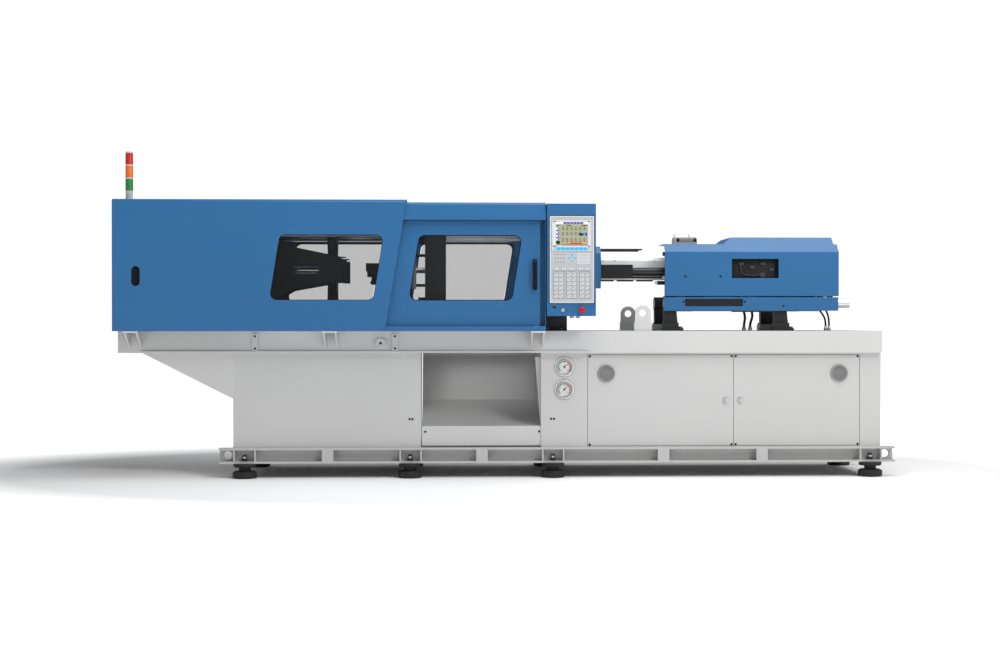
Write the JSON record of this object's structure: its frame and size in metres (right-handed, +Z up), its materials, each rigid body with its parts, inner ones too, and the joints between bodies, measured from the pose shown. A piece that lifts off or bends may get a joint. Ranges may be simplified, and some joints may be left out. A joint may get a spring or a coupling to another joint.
{
  "type": "injection moulding machine",
  "caption": "Horizontal plastics injection moulding machine: guarded clamp with sliding doors, injection unit on guide bars, operator panel and steel base on levelling feet.",
  "frame": {"origin": "on the floor under the middle of the machine's overall length and width", "axes": "+X from the clamping end to the injection end, +Z up, operator on the -Y side"},
  "size_m": [5.063, 1.328, 2.111],
  "materials": {
    "guard_blue": "gloss blue paint",
    "cream_paint": "light grey paint",
    "dark_casting": "black paint on castings",
    "zinc_steel": "machined steel",
    "hard_chrome": "ground and chromed",
    "window_clear": "clear polycarbonate",
    "black_plastic": "moulded black",
    "panel_silver": "satin grey",
    "screen_glass": "display",
    "key_blue": "membrane keys",
    "signal_red": "moulded red",
    "lamp_lens": "coloured lenses",
    "hose_rubber": "smooth",
    "heater_steel": "heat-toned steel",
    "dial_white": "gauge dials",
    "motor_paint": "grey paint"
  },
  "bodies": {
    "machine": {"skid_frame": "cream_paint", "levelling_feet": "dark_casting", "bed_frame": "cream_paint", "base_cabinet": "cream_paint", "discharge_chute": "cream_paint", "gauge_cases": "dial_white", "gauge_lenses": "window_clear", "pump_motor": "motor_paint", "fixed_platen": "dark_casting", "tie_bars": "hard_chrome", "tie_bar_nuts": "dark_casting", "end_platen": "dark_casting", "clamp_cylinder": "dark_casting", "guard_frame": "guard_blue", "tail_guards": "guard_blue", "tail_hood": "guard_blue", "tail_window_panes": "window_clear", "control_cabinet": "guard_blue", "operator_panel": "panel_silver", "screen": "screen_glass", "panel_keys": "key_blue", "seat_cylinders": "dark_casting", "guide_bars": "hard_chrome", "guide_stands": "dark_casting", "signal_tower": "panel_silver", "tower_lamps": "lamp_lens", "purge_guard_rail": "zinc_steel", "hose_glands": "zinc_steel", "hose_left": "hose_rubber", "hose_right": "hose_rubber", "cable_left": "hose_rubber", "cable_right": "hose_rubber"},
    "front_safety_door": {"front_door": "guard_blue", "front_door_pane": "window_clear", "front_door_handle": "black_plastic"},
    "rear_safety_door": {"rear_door": "guard_blue", "rear_door_pane": "window_clear"},
    "clamp": {"moving_platen": "dark_casting", "clamp_yoke": "dark_casting", "clamp_piston": "hard_chrome", "ejector_cylinder": "dark_casting"},
    "ejector": {"ejector_plate": "zinc_steel"},
    "purge_cover": {"purge_guard": "guard_blue"},
    "injection_unit": {"injection_base": "dark_casting", "barrel": "heater_steel", "barrel_cover": "zinc_steel", "injection_covers": "guard_blue", "feed_throat": "zinc_steel", "seat_cylinder_rods": "hard_chrome"},
    "feed_slide": {"feed_gate": "zinc_steel"},
    "injection_ram": {"injection_crosshead": "dark_casting"},
    "plasticising_screw": {"screw": "hard_chrome"},
    "left_cabinet_door": {"cabinet_door_left": "cream_paint"},
    "right_cabinet_door": {"cabinet_door_right": "cream_paint"},
    "left_lock": {"door_lock_left": "zinc_steel"},
    "right_lock": {"door_lock_right": "zinc_steel"},
    "emergency_stop": {"estop_button": "signal_red"},
    "key_selector": {"key_switch": "zinc_steel"},
    "upper_pointer": {"gauge_pointer_upper": "black_plastic"},
    "lower_pointer": {"gauge_pointer_lower": "black_plastic"}
  },
  "joints": [
    {"name": "front_door_slide", "type": "slide", "parent": "machine", "child": "front_safety_door", "axis": [1, 0, 0], "range_m": [-0.8, 0]},
    {"name": "rear_door_slide", "type": "slide", "parent": "machine", "child": "rear_safety_door", "axis": [1, 0, 0], "range_m": [-0.8, 0]},
    {"name": "clamp_slide", "type": "slide", "parent": "machine", "child": "clamp", "axis": [1, 0, 0], "range_m": [0, 0.435]},
    {"name": "ejector_slide", "type": "slide", "parent": "clamp", "child": "ejector", "axis": [1, 0, 0], "range_m": [0, 0.1]},
    {"name": "purge_guard_slide", "type": "slide", "parent": "machine", "child": "purge_cover", "axis": [1, 0, 0], "range_m": [0, 0.25]},
    {"name": "carriage_slide", "type": "slide", "parent": "machine", "child": "injection_unit", "axis": [1, 0, 0], "range_m": [0, 0.25]},
    {"name": "feed_gate_slide", "type": "slide", "parent": "injection_unit", "child": "feed_slide", "axis": [1, 0, 0], "range_m": [-0.09, 0]},
    {"name": "injection_slide", "type": "slide", "parent": "injection_unit", "child": "injection_ram", "axis": [1, 0, 0], "range_m": [0, 0.18]},
    {"name": "screw_turn", "type": "hinge", "parent": "injection_ram", "child": "plasticising_screw", "pos_m": [1.4, 0, 1.362], "axis": [1, 0, 0], "continuous": true},
    {"name": "cabinet_door_left_hinge", "type": "hinge", "parent": "machine", "child": "left_cabinet_door", "pos_m": [0.52, -0.42, 0.489], "axis": [0, 0, -1], "range_deg": [0, 100]},
    {"name": "cabinet_door_right_hinge", "type": "hinge", "parent": "machine", "child": "right_cabinet_door", "pos_m": [2.312, -0.42, 0.489], "axis": [0, 0, 1], "range_deg": [0, 100]},
    {"name": "lock_left_turn", "type": "hinge", "parent": "left_cabinet_door", "child": "left_lock", "pos_m": [1.426, -0.42, 0.5], "axis": [0, 1, 0], "range_deg": [0, 90]},
    {"name": "lock_right_turn", "type": "hinge", "parent": "right_cabinet_door", "child": "right_lock", "pos_m": [1.524, -0.42, 0.5], "axis": [0, 1, 0], "range_deg": [0, 90]},
    {"name": "estop_push", "type": "slide", "parent": "machine", "child": "emergency_stop", "axis": [0, 1, 0], "range_m": [0, 0.005], "stiffness_N_per_m": 2000},
    {"name": "key_switch_turn", "type": "hinge", "parent": "machine", "child": "key_selector", "pos_m": [0.337, -0.65, 1.09], "axis": [0, 1, 0], "range_deg": [0, 90]},
    {"name": "gauge_pointer_upper_turn", "type": "hinge", "parent": "machine", "child": "upper_pointer", "pos_m": [0.365, -0.42, 0.72], "axis": [0, 1, 0], "range_deg": [0, 270]},
    {"name": "gauge_pointer_lower_turn", "type": "hinge", "parent": "machine", "child": "lower_pointer", "pos_m": [0.365, -0.42, 0.573], "axis": [0, 1, 0], "range_deg": [0, 270]}
  ]
}
